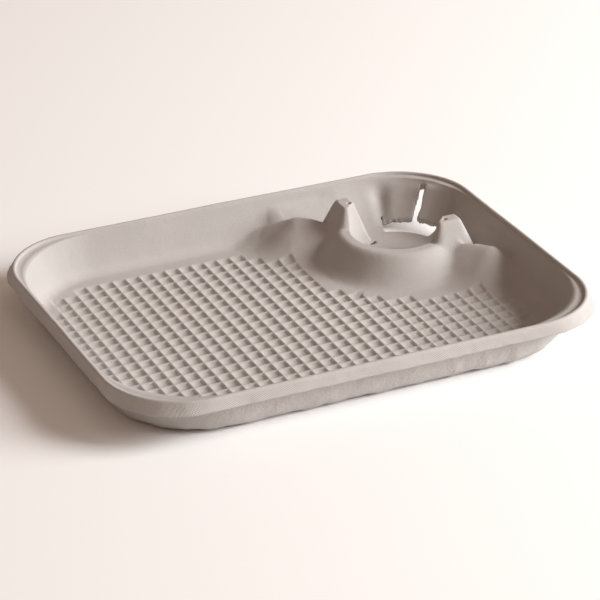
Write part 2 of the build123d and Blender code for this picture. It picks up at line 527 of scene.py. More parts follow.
    def pockets(self, x: Array, y: Array) -> Array:
        """0 on the ribs and outside the ribbed field, 1 at the bottom of a pocket.

        A pocket's depth is the product of two profiles, one along x and one along y; each is an
        S-curve down the rib's flank and a shallow dish. A pocket counts when its centre is in the
        field and clear of the ring and the arms. The field has an even number of columns, so it
        reaches half a pocket further to the left.

        Args:
            x, y: plan position.

        Returns:
            The share of the pocket's depth.
        """
        s = self.size
        depth = np.ones_like(x)
        for value in (x, y):
            from_rib = np.abs((value / s.rib_pitch) % 1.0 - 0.5) * s.rib_pitch
            flank = (1.0 - s.pocket_dish) * step(from_rib, s.rib_half_top, s.rib_half_foot)
            depth = depth * (flank + s.pocket_dish * step(from_rib, *s.pocket_dish_span))
        cx, cy = (np.round(value / s.rib_pitch) * s.rib_pitch for value in (x, y))
        half = s.rib_pitch / 2
        reach = self.POCKET_REACH * half
        over_x = np.maximum(np.abs(cx + half) + reach - (s.pocket_columns * half - s.field_corner), 0.0)
        over_y = np.maximum(np.abs(cy) + reach - (s.pocket_rows * half - s.field_corner), 0.0)
        u, v = cx - s.cup_x, cy - s.cup_y
        free = np.hypot(over_x, over_y) <= s.field_corner
        free &= np.hypot(u, v) > s.ring_cove_out + half + self.CLEARANCE
        return depth * (free & ~self.in_arm(u, v) & ~self.in_arm(v, u))

    def in_arm(self, u: Array, v: Array) -> Array:
        """True where a pocket centre is on or behind the left arm's foot.

        Args:
            u, v: the pocket's centre from the cup's axis.

        Returns:
            True where the centre is within arm_clear of the arm's line or behind it.
        """
        s = self.size
        foot = s.arm_clear
        hit = (u > s.arm_line[-1][0]) & (v > s.arm_line[0][1])
        for a, b in zip(s.arm_line, s.arm_line[1:]):
            dx, dy = b[0] - a[0], b[1] - a[1]
            span = math.hypot(dx, dy)
            along = ((u - a[0]) * dx + (v - a[1]) * dy) / span
            off = np.abs((u - a[0]) * dy - (v - a[1]) * dx) / span
            hit |= (along > -foot) & (along < span + foot) & (off < foot)
        return hit

    def raised(self, u: Array, v: Array, r: Array, grow: float) -> Array:
        """Raised forms in front of the flared wall: the arms, the low shelf behind them and the ring.

        The shelf is level, with a bell-shaped mound beside each arm, and falls in front of the arms.

        Args:
            u, v, r: plan position and distance from the cup's axis.
            grow: thickness by which the forms are moved inwards.

        Returns:
            The height of the three forms together.
        """
        s, rounding = self.size, self.rounding
        arms = np.maximum(self.arm(u, v, grow), self.arm(v, u, grow))
        corner = np.minimum(self.behind(u, v), self.behind(v, u))
        mu, mv = s.mound_spot
        mound = sum(s.mound_height * np.exp(-((a - mu) ** 2 + (b - mv) ** 2) / s.mound_spread)
                    for a, b in ((u, v), (v, u)))
        flat = s.shelf_height + mound - grow - s.shelf_fall * np.maximum(-corner, 0.0)
        shelf = smooth_max(arms, flat, rounding.shelf_foot)
        return smooth_max(shelf, self.ring(r, grow), rounding.ring_foot)

    def behind_cup(self, block: Array, sides: Array, x: Array, y: Array,
                   r: Array, away: Array, grow: float) -> Array:
        """Adds the flared wall behind the cup, carried on along both walls above the shelf.

        Args:
            block: height of the raised forms.
            sides: height of the plain floor and walls.
            x, y, r, away: plan position, distance from the cup's axis and angle from the diagonal.
            grow: thickness by which the form is moved inwards.

        Returns:
            The height of the raised forms and the flared wall together.
        """
        s, form, rounding = self.size, self.inset, self.rounding
        side = np.abs(away)
        nearer_back = x - s.core_x < y - s.core_y
        start = np.where(nearer_back, s.inset_start[0] - x, s.inset_start[1] - y)
        begun = 1.0 - step(start, *form.runs_in)
        flare = np.minimum(self.flared(self.offset(x, y), self.flap(away, r), grow), s.land - grow)
        flare = flare - form.flush_depth * step(flare, *form.flush_height) * step(side, *form.flush_side)
        carried = sides + (flare - sides) * begun - form.drop * (1.0 - begun)
        block = smooth_max(block, carried, rounding.flare_foot)
        beyond = np.maximum(side - form.end_side, 0.0) * np.radians(1.0) * r
        block = smooth_min(block, flare + form.end_slope * beyond, rounding.flare_end)
        past = (side - s.pad_spread) * np.radians(1.0) * r
        return block + (flare - block) * step(-past, -form.pad_blend, 0.0)

    def __call__(self, x: Array, y: Array, grow: float) -> Array:
        """Height of one face of the sheet.

        Args:
            x, y: plan position in the tray's frame.
            grow: 0 for the upper face, the sheet's thickness for the under face.

        Returns:
            The height in millimetres, one value for each point.
        """
        s, rounding = self.size, self.rounding
        u, v, r, away = s.about_cup(x, y)
        low = s.floor_top if grow == 0 else 0.0
        sides = self.walls(self.offset(x, y), grow)

        block = self.behind_cup(self.raised(u, v, r, grow), sides, x, y, r, away, grow)
        for sign in (1, -1):
            block = smooth_max(block, self.post(u, v, sign, grow), rounding.post_foot)

        # the cup's own clearance, with a small cove at its foot
        well_run = r - s.well_radius - grow + s.well_cove_reach
        well = self.coved(well_run, s.well_slope, s.well_cove, low)
        block = smooth_min(block, well, rounding.well_edge)

        # fillet between block and tray, dying out near the rim, behind the cup and inside the well
        fades = 1.0 - step(np.maximum(sides, block), *rounding.fades_by_height)
        fades = fades * step(np.abs(away), *rounding.fades_by_side)
        fades = fades * step(r, s.well_radius, s.ring_crest_out)
        surface = smooth_max(sides, block, rounding.sharp + rounding.block_foot * fades)
        if grow == 0:
            return surface - s.pocket_depth * self.pockets(x, y)
        grooved = s.groove_depth * step(-surface, -self.FLOOR_SPAN, 0.0) * self.grooves(x, y)
        return np.maximum(surface + grooved, 0.0)

    def grooves(self, x: Array, y: Array) -> Array:
        """Shallow grooves that the ribs leave underneath, 1 below a rib and 0 below a pocket.

        Args:
            x, y: plan position.

        Returns:
            The share of the groove's depth, 0 outside the ribbed field.
        """
        s = self.size
        inside = self.offset(x, y) < s.pocket_rows * s.rib_pitch / 2 - s.core_y + self.FLOOR_SPAN
        r = np.hypot(x - s.cup_x, y - s.cup_y)
        clear = r > s.ring_cove_out + s.rib_pitch / 2 + self.CLEARANCE
        return (1.0 - self.pockets(x, y)) * inside * clear


# Plan lattice


class Lattice:
    """Plan positions and faces of the sheet, up to the top edge of the walls.

    Straight lines follow the ribs in the middle; a band of rings follows the walls; a disc of
    rings and rays follows the cup well, and a fan of rays fills the tray's corner behind it. Lines
    and rings are closest where the relief is steepest. Counts of columns, rows and the band are
    pitches of the ribs; rings are distances in millimetres.
    """

    COLUMNS, ROWS = 14, 10
    BAND = 4
    FINE_COLUMN, FINE_ROW = 5, 1
    COARSE = (0.0, 3.4, 4.25, 4.95, 5.8)
    FINE = (0.0, 1.7, 3.4, 4.25, 4.95, 5.8, 7.5)
    BAND_RINGS = (0.0, 3.4, 4.25, 4.95, 5.8, 7.6)
    WALL_RINGS = (46.0, 47.0, 48.0, 49.0, 50.0, 51.0, 52.1, 53.2, 54.3, 55.3, 56.2, 57.1, 58.1,
                  59.3, 60.5, 61.7, 62.7, 63.4, 63.9, 64.25, 64.5)
    WELL_RINGS = (2.5, 6.0, 10.0, 14.0, 17.0, 19.5, 20.8, 21.7, 22.6, 23.5, 24.3, 25.0)
    WELL_WALL = (25.5, 33.4, 0.52)
    BLOCK_RINGS = (33.5, 34.3, 35.1, 35.9, 36.7, 37.5, 38.3, 39.1, 39.8)
    DISC_EDGE = 40.5
    BLEND_RINGS = 10
    FAN_RAYS = 91

    def __init__(self, size: TrayDimensions) -> None:
        """Works out the lattice's lines and rings and builds its patches.

        Args:
            size: the tray's sizes.
        """
        self.size = size
        pitch = size.rib_pitch
        self.inner_x, self.inner_y = self.COLUMNS * pitch, self.ROWS * pitch
        self.square = size.square
        self.column = self.lines(self.COLUMNS, self.FINE_COLUMN)
        self.row = self.lines(self.ROWS, self.FINE_ROW)
        self.rings = np.concatenate([self.BAND * pitch + np.array(self.BAND_RINGS), self.WALL_RINGS])
        self.patches: list[tuple[Array, Array]] = []
        self.build()

    def lines(self, stop: int, fine_from: int) -> Array:
        """Lattice lines between two pocket centres, stop pitches to each side of the middle.

        Args:
            stop: pitches from the middle to the last line.
            fine_from: the pitch from which on the lines are closer together.

        Returns:
            The lines' places in ascending order.
        """
        pitch = self.size.rib_pitch
        values = [k * pitch + part for k in range(-stop, fine_from) for part in self.COARSE]
        values += [k * pitch + part for k in range(fine_from, stop) for part in self.FINE]
        return np.array(values + [stop * pitch])

    def build(self) -> None:
        """Lays out every patch as a grid of plan positions; neighbours share their edge points."""
        s = self.size
        x_split, y_split = s.core_x - self.square, s.core_y - self.square
        columns, rows = self.column, self.row
        low_rows, high_rows = rows[rows <= y_split + NEAR], rows[rows >= y_split - NEAR]
        left_columns = columns[columns <= x_split + NEAR]
        self.patches.append(tuple(np.meshgrid(columns, low_rows, indexing="ij")))
        self.patches.append(tuple(np.meshgrid(left_columns, high_rows, indexing="ij")))

        # the band along the walls, from the inner rectangle to the wall's top edge
        px, py, qx, qy = (values[:, None] for values in self.stations())
        share = ((self.rings - self.rings[0]) / (self.rings[-1] - self.rings[0]))[None, :]
        self.patches.append((px * (1 - share) + qx * share, py * (1 - share) + qy * share))
        self.build_corner(rows, columns, x_split, y_split)

    def build_corner(self, rows: Array, columns: Array, x_split: float,
                     y_split: float) -> None:
        """The corner with the cup: bands beside and behind it, the fan of rays and the disc.

        Args:
            rows, columns: lattice lines across and along the tray.
            x_split, y_split: where the corner's square begins.
        """
        s = self.size
        cx, cy = s.core_x, s.core_y
        outer = self.rings[self.rings >= self.square - NEAR]
        side = rows[(rows >= y_split - NEAR) & (rows <= cy + NEAR)]
        back = columns[(columns >= x_split - NEAR) & (columns <= cx + NEAR)][::-1]
        fan = np.radians(np.linspace(0.0, 90.0, self.FAN_RAYS))
        cos, sin = np.cos(fan), np.sin(fan)
        pushed = s.push(cx + cos, cy + sin)[:, None]
        far_out = outer + (outer - self.square) / (outer[-1] - self.square) * pushed
        self.patches.append(tuple(np.meshgrid(cx + outer, side)))
        self.patches.append((cx + cos[:, None] * far_out, cy + sin[:, None] * far_out))
        self.patches.append(tuple(np.meshgrid(back, cy + outer, indexing="ij")))

        # the square's edge, counter-clockwise from its right end, and the disc that fills it
        rest_rows = self.crossing(rows, cy, y_split, self.inner_y, self.ROWS + 1)
        rest_columns = self.crossing(columns, cx, x_split, self.inner_x, self.COLUMNS + 1)
        edge_x = np.concatenate([
            np.full(len(side), cx + self.square), cx + cos[1:] * self.square, back[1:],
            np.full(len(rest_rows) - 1, x_split), rest_columns[1:]])
        edge_y = np.concatenate([
            side, cy + sin[1:] * self.square, np.full(len(back) - 1, cy + self.square),
            rest_rows[::-1][1:], np.full(len(rest_columns) - 1, y_split)])
        bearing = np.arctan2(edge_y - s.cup_y, edge_x - s.cup_x)[:, None]
        far = np.hypot(edge_x - s.cup_x, edge_y - s.cup_y)[:, None]
        disc = np.concatenate([self.WELL_RINGS, np.arange(*self.WELL_WALL), self.BLOCK_RINGS])
        blended = self.DISC_EDGE + (far - self.DISC_EDGE) * np.linspace(0.0, 1.0, self.BLEND_RINGS)
        reach = np.concatenate([disc[None, :] + 0.0 * far, blended], axis=1)
        self.patches.append((s.cup_x + np.cos(bearing) * reach, s.cup_y + np.sin(bearing) * reach))

    def crossing(self, lines: Array, core: float, split: float, inner: float,
                 last: int) -> Array:
        """Lines that cross an edge of the square: the lattice's own, then the band's rings.

        Args:
            lines: lattice lines in one direction.
            core: half size of the core rectangle in that direction.
            split: where the square begins.
            inner: where the lattice ends and the band begins.
            last: pitches from the middle to the last ring that may cross.

        Returns:
            The places of all lines in ascending order.
        """
        own = lines[(lines >= split - NEAR) & (lines <= core + self.square + NEAR)]
        rings = core + self.rings
        rings = rings[(rings >= inner - NEAR) & (rings <= last * self.size.rib_pitch + NEAR)]
        return np.unique(np.round(np.concatenate([own, rings]), 6))

    def stations(self) -> tuple[Array, ...]:
        """Points round the inner rectangle and the points of the wall's top edge they run to.

        A point on a straight part runs straight out; the direction turns evenly round a corner.

        Returns:
            The x and y of the inner points and the x and y of the outer ones, counter-clockwise
            from the corner with the cup round to its other side.
        """
        s = self.size
        ix, iy, r = self.inner_x, self.inner_y, s.wall_corner
        columns, rows = self.column, self.row
        right = np.stack([np.full(len(rows), ix), rows], 1)
        top = np.stack([columns[::-1], np.full(len(columns), iy)], 1)
        left = np.stack([np.full(len(rows), -ix), rows[::-1]], 1)
        bottom = np.stack([columns, np.full(len(columns), -iy)], 1)
        px, py = np.concatenate([top[:-1], left[:-1], bottom[:-1], right]).T
        fx = np.clip((np.abs(px) - s.core_x) / (ix - s.core_x), 0.0, 1.0)
        fy = np.clip((np.abs(py) - s.core_y) / (iy - s.core_y), 0.0, 1.0)
        on_side = np.abs(np.abs(px) - ix) < NEAR
        on_end = np.abs(np.abs(py) - iy) < NEAR
        on_long = on_side & ~(on_end & (fx < 1))
        angle = np.where(on_long, fy * math.pi / 4, math.pi / 2 - fx * math.pi / 4)
        nx, ny = np.cos(angle) * np.sign(px), np.sin(angle) * np.sign(py)
        kx = np.clip(px, -s.core_x, s.core_x)
        ky = np.clip(py, -s.core_y, s.core_y)
        x_split, y_split = s.core_x - self.square, s.core_y - self.square
        first = int(np.argmin(np.hypot(px - x_split, py - iy)))
        last = int(np.argmin(np.hypot(px - ix, py - y_split)))
        return tuple(values[first:last + 1] for values in (px, py, kx + r * nx, ky + r * ny))


# Rim


@dataclass(frozen=True)
class RimLine:
    """One line round the rim: distance inside the lip's outer edge, corner radius and height."""

    inset: float
    corner: float
    height: float


class Rim:
    """Land, raised lip and skirt, as lines that go over the edge and back underneath."""

    OVER = (
        RimLine(3.25, 47.75, 28.3), RimLine(2.98, 48.0, 28.65), RimLine(2.8, 48.2, 29.3),
        RimLine(2.45, 48.55, 29.8), RimLine(1.8, 49.2, 30.0), RimLine(1.0, 50.0, 29.95),
        RimLine(0.4, 50.6, 29.6), RimLine(0.05, 50.8, 28.9),
    )
    SKIRT = (
        RimLine(-0.25, 49.7, 27.4), RimLine(-0.5, 48.6, 25.9), RimLine(-0.75, 47.4, 24.4),
        RimLine(-0.98, 46.2, 23.0), RimLine(-1.15, 45.2, 22.1), RimLine(-1.1, 44.8, 21.75),
        RimLine(-0.6, 44.5, 21.6), RimLine(0.1, 44.2, 21.75), RimLine(0.5, 44.4, 22.3),
    )
    UNDER = (RimLine(1.0, 46.4, 24.0), RimLine(1.6, 48.0, 25.6), RimLine(2.1, 48.6, 26.1))

    UNDER_WIDTH = 1.5
    UNDER_SHARES = (1.0, 0.5)

    def __init__(self, size: TrayDimensions) -> None:
        """Keeps the sizes that the lines are placed from."""
        self.size = size

    def reach(self, kx: Array, ky: Array, nx: Array, ny: Array,
              line: RimLine) -> Array:
        """Distance along rays to a rounded rectangle.

        Args:
            kx, ky: starts of the rays, on the core rectangle.
            nx, ny: unit directions of the rays.
            line: the rim line that gives the rounded rectangle.

        Returns:
            One distance for each ray, to the straight side or the corner arc that it meets.
        """
        s = self.size
        kx, ky, nx, ny = np.abs(kx), np.abs(ky), np.abs(nx), np.abs(ny)
        half_x, half_y = s.length / 2 - line.inset, s.width / 2 - line.inset
        ax, ay = half_x - line.corner, half_y - line.corner
        to_x = (half_x - kx) / np.maximum(nx, 1e-9)
        to_y = (half_y - ky) / np.maximum(ny, 1e-9)
        wx, wy = kx - ax, ky - ay
        along = wx * nx + wy * ny
        to_arc = -along + np.sqrt(np.maximum(along**2 - wx**2 - wy**2 + line.corner**2, 0.0))
        hits_x = (ky + to_x * ny) <= ay
        hits_y = (kx + to_y * nx) <= ax
        return np.where(hits_x, to_x, np.where(hits_y, to_y, to_arc))

    def lines(self, edge: Array, under: Array) -> tuple[Array, Array]:
        """Vertices of every rim line.

        The last ones carry the under face on outward by UNDER_WIDTH, up to the land's underside.

        Args:
            edge: the wall's top edge, one row of x, y, z for each station, counter-clockwise.
            under: height of the under face at the same stations.

        Returns:
            An array of lines by stations by 3, and how much of the printed skirt each line shows.
        """
        s = self.size
        x, y = edge[:, 0], edge[:, 1]
        kx, ky = np.clip(x, -s.core_x, s.core_x), np.clip(y, -s.core_y, s.core_y)
        far = np.hypot(x - kx, y - ky)
        nx, ny = (x - kx) / far, (y - ky) / far
        out, marks = [], []
        for group, mark in ((self.OVER, 0.0), (self.SKIRT, 1.0), (self.UNDER, 0.0)):
            for line in group:
                rho = self.reach(kx, ky, nx, ny, line)
                out.append(np.stack([kx + rho * nx, ky + rho * ny, np.full_like(x, line.height)], 1))
                marks.append(mark)
        first = (edge + out[0]) / 2
        lines = [first, *out]
        marks = [0.0, *marks]
        for share in self.UNDER_SHARES:
            d = far + self.UNDER_WIDTH * share
            z = under + (s.land - s.sheet - under) * share
            lines.append(np.stack([kx + d * nx, ky + d * ny, z], 1))
            marks.append(0.0)
        return np.stack(lines), np.array(marks)


# Openings


@dataclass(frozen=True)
class Openings:
    """Holes and slits of the moulding, as signed distances in plan; negative is inside.

    Angles are in degrees, lengths in millimetres and places are given from the cup's axis. The
    window lies at the foot of the two flaps, the slot parts them, a slit frees each window end, a
    small hole is in each post's top and the drain is beside the well's floor.
    """

    size: TrayDimensions
    felt: Felt
    window_turn: float = 3.0
    window_tear: float = 0.7
    window_trim: float = 0.3
    slot_shift: float = 0.6
    slot_half: float = 1.75
    slot_swell: float = 0.7
    slot_swells_over: tuple[float, float] = (44.0, 50.0)
    slot_taper: float = 0.6
    slot_tapers_over: tuple[float, float] = (55.0, 61.0)
    slot_tear: float = 0.4
    slit_outer: float = 50.0
    slit_half: float = 0.6
    slit_tear: float = 0.15
    tear_grain: float = 1.6
    tear_detail: float = 0.6
    edge_lap: float = 1.0
    hole_spots: tuple[tuple[float, float], ...] = ((24.6, -23.4), (-21.0, 25.4))
    drain_bearing: float = 104.0
    drain_reach: float = 22.5
    drain_half: tuple[float, float] = (3.4, 1.9)
    drain_taper: float = 0.2

    def __call__(self, x: Array, y: Array) -> Array:
        """Signed distance to the nearest opening.

        Each opening is the largest of its sides' distances, and the smallest of all openings counts.

        Args:
            x, y: plan position in the tray's frame.

        Returns:
            One distance for each point, negative inside an opening.
        """
        s = self.size
        u, v, r, away = s.about_cup(x, y)
        arc = np.radians(away) * np.maximum(r, 1.0)
        turned_arc = np.abs(np.radians(away - self.window_turn) * np.maximum(r, 1.0))
        spread = np.radians(s.window_spread) * np.maximum(r, 1.0)
        flat = np.stack([x, y, 0 * x], 1)
        tear = self.felt(flat, self.tear_grain) + self.tear_detail * self.felt(flat, self.tear_grain / 2)

        far_side = r - s.window_outer + self.window_tear * tear + self.window_trim
        window = np.maximum(np.maximum(s.window_inner - r, far_side), turned_arc - spread)
        near_side = s.window_inner + self.edge_lap - r
        half = self.slot_half + self.slot_swell * step(r, *self.slot_swells_over)
        half = half - self.slot_taper * step(r, *self.slot_tapers_over) + self.slot_tear * tear
        slot_side = np.abs(arc - self.slot_shift) - half
        slot = np.maximum(np.maximum(near_side, r - s.slot_outer), slot_side)
        slit_side = np.abs(turned_arc - spread) - self.slit_half - self.slit_tear * tear
        slits = np.maximum(np.maximum(near_side, r - self.slit_outer), slit_side)
        holes = np.minimum(np.minimum(window, slot), slits)

        for pu, pv in self.hole_spots:
            holes = np.minimum(holes, np.hypot(u - pu, v - pv) - s.post_hole)
        turn = math.radians(self.drain_bearing)
        along = np.abs(u * math.cos(turn) + v * math.sin(turn) - self.drain_reach)
        across = np.abs(-u * math.sin(turn) + v * math.cos(turn))
        wide, deep = self.drain_half
        drain = np.maximum(across - wide, along - deep + self.drain_taper * across)
        return np.minimum(holes, drain)


# Mesh


@dataclass
class SheetMesh:
    """The closed sheet as arrays, ready to be made into a mesh."""

    points: Array
    quads: Array
    tris: Array
    masks: dict[str, Array] = field(default_factory=dict)

    def normals(self) -> Array:
        """Vertex normals: each face adds the cross product of its diagonals or edges.

        Returns:
            One unit vector for each point.
        """
        p = self.points
        total = np.zeros_like(p)
        for faces, a, b in ((self.quads, (0, 2), (1, 3)), (self.tris, (0, 1), (0, 2))):
            first, second = (p[faces[:, end]] - p[faces[:, start]] for start, end in (a, b))
            cross = np.cross(first, second)
            for column in range(faces.shape[1]):
                np.add.at(total, faces[:, column], cross)
        return total / np.maximum(np.linalg.norm(total, axis=1, keepdims=True), 1e-9)

    def to_object(self, name: str) -> bpy.types.Object:
        """Makes the mesh in metres, with smooth shading and its masks as vertex attributes.

        Args:
            name: name of the mesh and the object.

        Returns:
            The new object, linked to the scene.
        """
        mesh = bpy.data.meshes.new(name)
        counts = np.concatenate([np.full(len(self.quads), 4), np.full(len(self.tris), 3)])
        loops = np.concatenate([self.quads.ravel(), self.tris.ravel()]).astype(np.int32)
        mesh.vertices.add(len(self.points))
        mesh.vertices.foreach_set("co", (self.points * MM).astype(np.float32).ravel())
        mesh.loops.add(len(loops))
        mesh.loops.foreach_set("vertex_index", loops)
        mesh.polygons.add(len(counts))
        mesh.polygons.foreach_set("loop_start", (np.cumsum(counts) - counts).astype(np.int32))
        mesh.update(calc_edges=True)
        mesh.validate()
        mesh.polygons.foreach_set("use_smooth", np.ones(len(mesh.polygons), dtype=bool))
        for mask, values in self.masks.items():
            layer = mesh.attributes.new(mask, "FLOAT", "POINT")
            layer.data.foreach_set("value", values.astype(np.float32))
        made = bpy.data.objects.new(name, mesh)
        bpy.context.scene.collection.objects.link(made)
        log.info("%s: %d vertices, %d faces", name, len(mesh.vertices), len(mesh.polygons))
        return made


@dataclass(frozen=True)
class FeltForm:
    """Lumps and unevenness of the pulp: grains, heights and places in millimetres.

    The values of fine and coarse are the height everywhere, what the outer side adds to it and
    what the skirt adds to it. apart shifts the coarse, the warp and the hem relief, so that none
    of them repeats another.
    """

    fine_grain: float = 2.6
    fine: tuple[float, float, float] = (0.05, 0.34, 0.1)
    coarse_grain: float = 7.0
    coarse: tuple[float, float, float] = (0.06, 0.5, 0.14)
    warp_grain: float = 45.0
    warp: float = 0.35
    hem_grain: float = 4.0
    hem: float = 0.45
    hem_span: tuple[float, float] = (21.6, 22.6)
    apart: tuple[float, float, float] = (40.0, 90.0, 13.0)


class TraySheet:
    """Builds the tray's closed sheet from the lattice, the relief, the rim and the openings."""

    SURFACE_SEED, TEAR_SEED = 7, 11
    LEAST_SHEET = 0.9
    SNAP_PASSES = 3
    SNAP_EASE = 0.7
    SNAP_LIMIT = 0.42
    LEAST_SLOPE = 0.25
    PROBE = 0.05

    def __init__(self, size: TrayDimensions) -> None:
        """Makes the helpers that place, lift, edge and pierce the sheet.

        Args:
            size: the tray's sizes.
        """
        self.size = size
        self.felt = Felt(self.SURFACE_SEED)
        self.lumps = FeltForm()
        self.relief = Relief(size)
        self.rim = Rim(size)
        self.openings = Openings(size, Felt(self.TEAR_SEED))

    def plan(self) -> tuple[Array, Array, Array]:
        """Merges the lattice's patches and closes the well's centre with triangles.

        Points count as one where they agree to a thousandth of a millimetre.

        Returns:
            The plan points, the quads and the triangles, all counter-clockwise from above.
        """
        lattice = Lattice(self.size)
        points, quads, count = [], [], 0
        for px, py in lattice.patches:
            n, m = px.shape
            index = np.arange(n * m).reshape(n, m) + count
            faces = np.stack([index[:-1, :-1], index[1:, :-1], index[1:, 1:], index[:-1, 1:]], -1)
            quads.append(faces.reshape(-1, 4))
            points.append(np.stack([px.ravel(), py.ravel()], 1))
            count += n * m
        points, quads = np.concatenate(points), np.concatenate(quads)
        disc = lattice.patches[-1][0].shape
        ring = np.arange(disc[0]) * disc[1] + count - disc[0] * disc[1]
        points = np.concatenate([points, [[self.size.cup_x, self.size.cup_y]]])
        tris = np.stack([np.full(len(ring) - 1, count), ring[:-1], ring[1:]], 1)
        _, first, same = np.unique(np.round(points, 3), axis=0, return_index=True, return_inverse=True)
        same = same.ravel()
        points, quads, tris = points[first], same[quads], same[tris]
        a, b, c, d = (points[quads[:, k]] for k in range(4))
        area = (c - a)[:, 0] * (d - b)[:, 1] - (c - a)[:, 1] * (d - b)[:, 0]
        quads[area < 0] = quads[area < 0][:, ::-1]
        return points, quads, tris

    def pierce(self, points: Array, quads: Array) -> tuple[Array, Array]:
        """Takes out the quads in the openings and draws the edge vertices onto their outlines.

        A few passes of Newton's step along the slope of the signed distance do that, each step
        shortened by SNAP_EASE. The slope is read by central differences over PROBE to both sides,
        and no vertex moves further than SNAP_LIMIT.

        Args:
            points: plan positions.
            quads: faces of the plan.

        Returns:
            The moved positions and the kept quads.
        """
        middle = points[quads].mean(axis=1)
        inside = self.openings(middle[:, 0], middle[:, 1]) < 0.0
        kept = quads[~inside]
        edge = np.intersect1d(np.unique(quads[inside]), np.unique(kept))
        moved = points.copy()
        nudge_x, nudge_y = np.array([self.PROBE, 0.0]), np.array([0.0, self.PROBE])
        for _ in range(self.SNAP_PASSES):
            at = moved[edge]
            slope = np.stack([
                (self.openings(*(at + nudge).T) - self.openings(*(at - nudge).T)) / (2 * self.PROBE)
                for nudge in (nudge_x, nudge_y)], 1)
            steep = np.maximum((slope**2).sum(axis=1), self.LEAST_SLOPE)
            shift = -(self.openings(*at.T) / steep)[:, None] * slope * self.SNAP_EASE
            total = at + shift - points[edge]
            length = np.maximum(np.linalg.norm(total, axis=1, keepdims=True), 1e-9)
            moved[edge] = points[edge] + total * np.minimum(1.0, self.SNAP_LIMIT / length)
        return moved, kept

    def build(self) -> SheetMesh:
        """The whole closed mesh: upper face, rim, under face and the edges of the openings.

        The under face lies at least LEAST_SHEET below the upper one.

        Returns:
            The mesh with its relief and its masks.
        """
        s = self.size
        plan, quads, tris = self.plan()
        plan, quads = self.pierce(plan, quads)
        used = np.unique(np.concatenate([quads.ravel(), tris.ravel()]))
        renumber = np.full(len(plan), -1)
        renumber[used] = np.arange(len(used))
        plan, quads, tris = plan[used], renumber[quads], renumber[tris]
        x, y = plan.T
        n = len(plan)
        top = np.stack([x, y, self.relief(x, y, 0.0)], 1)
        under_z = np.minimum(self.relief(x, y, s.sheet), top[:, 2] - self.LEAST_SHEET)
        under = np.stack([x, y, under_z], 1)

        # the top edge of the walls, in order round the tray
        edge = np.flatnonzero(self.relief.offset(x, y) > s.wall_corner - 1e-3)
        edge = edge[np.argsort(np.arctan2(y[edge], x[edge]))]
        top[edge, 2] = s.land
        lines, marks = self.rim.lines(top[edge], under[edge, 2])
        k, m = lines.shape[:2]
        between = 2 * n + np.arange(k * m).reshape(k, m)
        grid = np.concatenate([edge[None, :], between, (n + edge)[None, :]])
        nxt = np.roll(grid, -1, axis=1)
        rim = np.stack([grid[:-1], grid[1:], nxt[1:], nxt[:-1]], -1).reshape(-1, 4)

        # walls of the openings: every edge of the upper face that has no face on its other side
        sides = np.concatenate([np.stack([quads[:, i], quads[:, (i + 1) % 4]], 1) for i in range(4)]
                               + [np.stack([tris[:, i], tris[:, (i + 1) % 3]], 1) for i in range(3)])
        code = sides[:, 0].astype(np.int64) * n + sides[:, 1]
        back = sides[:, 1].astype(np.int64) * n + sides[:, 0]
        alone = sides[~np.isin(code, back)]
        on_rim = np.isin(alone, edge).all(axis=1)
        a, b = alone[~on_rim].T
        walls = np.stack([b, a, a + n, b + n], 1)

        points = np.concatenate([top, under, lines.reshape(-1, 3)])
        faces = np.concatenate([quads, quads[:, ::-1] + n, rim, walls])
        mesh = SheetMesh(points, faces, np.concatenate([tris, tris[:, ::-1] + n]))
        skirt = np.concatenate([np.zeros(2 * n), np.repeat(marks, m)])
        hidden = len(Rim.UNDER) + len(Rim.UNDER_SHARES)
        below = (np.arange(k) >= k - hidden) * 1.0
        outside = np.concatenate([np.zeros(n), np.ones(n), np.repeat(below, m)])
        mesh.masks = {"skirt": skirt, "outside": outside}
        self.roughen(mesh)
        return mesh

    def roughen(self, mesh: SheetMesh) -> None:
        """Felt lumps, a slight warp of the rim and an uneven lower edge of the skirt.

        Each vertex moves along its normal by the fine and the coarse relief times their heights.
        The warp grows with the height, and the hem's relief moves only the skirt's lowest part.

        Args:
            mesh: the sheet, whose points are moved.
        """
        p = mesh.points
        normal = mesh.normals()
        outside, skirt = mesh.masks["outside"], mesh.masks["skirt"]
        form = self.lumps
        coarse_at, warp_at, hem_at = (p + shift for shift in form.apart)
        amount = 0.0
        for (even, out, print_part), relief in (
                (form.fine, self.felt(p, form.fine_grain)),
                (form.coarse, self.felt(coarse_at, form.coarse_grain))):
            amount = amount + (even + out * outside + print_part * skirt) * relief
        moved = p + normal * amount[:, None]
        high = np.clip(p[:, 2] / self.size.height, 0.0, 1.0)
        moved[:, 2] += form.warp * self.felt(warp_at, form.warp_grain) * high
        low, top = form.hem_span
        low_edge = skirt * step(-p[:, 2], -top, -low)
        moved[:, 2] += form.hem * low_edge * self.felt(hem_at, form.hem_grain)
        moved[:, 2] = np.maximum(moved[:, 2], 0.0)
        mesh.points = moved


# Materials


def linear(hex_colour: str) -> tuple[float, float, float, float]:
    """Turns an sRGB hex colour such as #c9c2bb into linear RGBA."""
    parts = [int(hex_colour.lstrip("#")[k:k + 2], 16) / 255 for k in (0, 2, 4)]
    return (*[c / 12.92 if c <= 0.04045 else ((c + 0.055) / 1.055) ** 2.4 for c in parts], 1.0)


def add_node(tree: Tree, kind: str, inputs: dict[int | str, object] | None = None,
             **settings: object) -> bpy.types.Node:
    """Adds one node, sets its properties, and fills or links its inputs.

    Args:
        tree: the node tree to add to.
        kind: the node's type name.
        inputs: input name or index to a value or an output socket.
        settings: node properties by name.

    Returns:
        The new node.
    """
    node = tree.nodes.new(kind)
    for name, value in settings.items():
        setattr(node, name, value)
    for key, value in (inputs or {}).items():
        if isinstance(value, Socket):
            tree.links.new(value, node.inputs[key])
        else:
            node.inputs[key].default_value = value
    return node


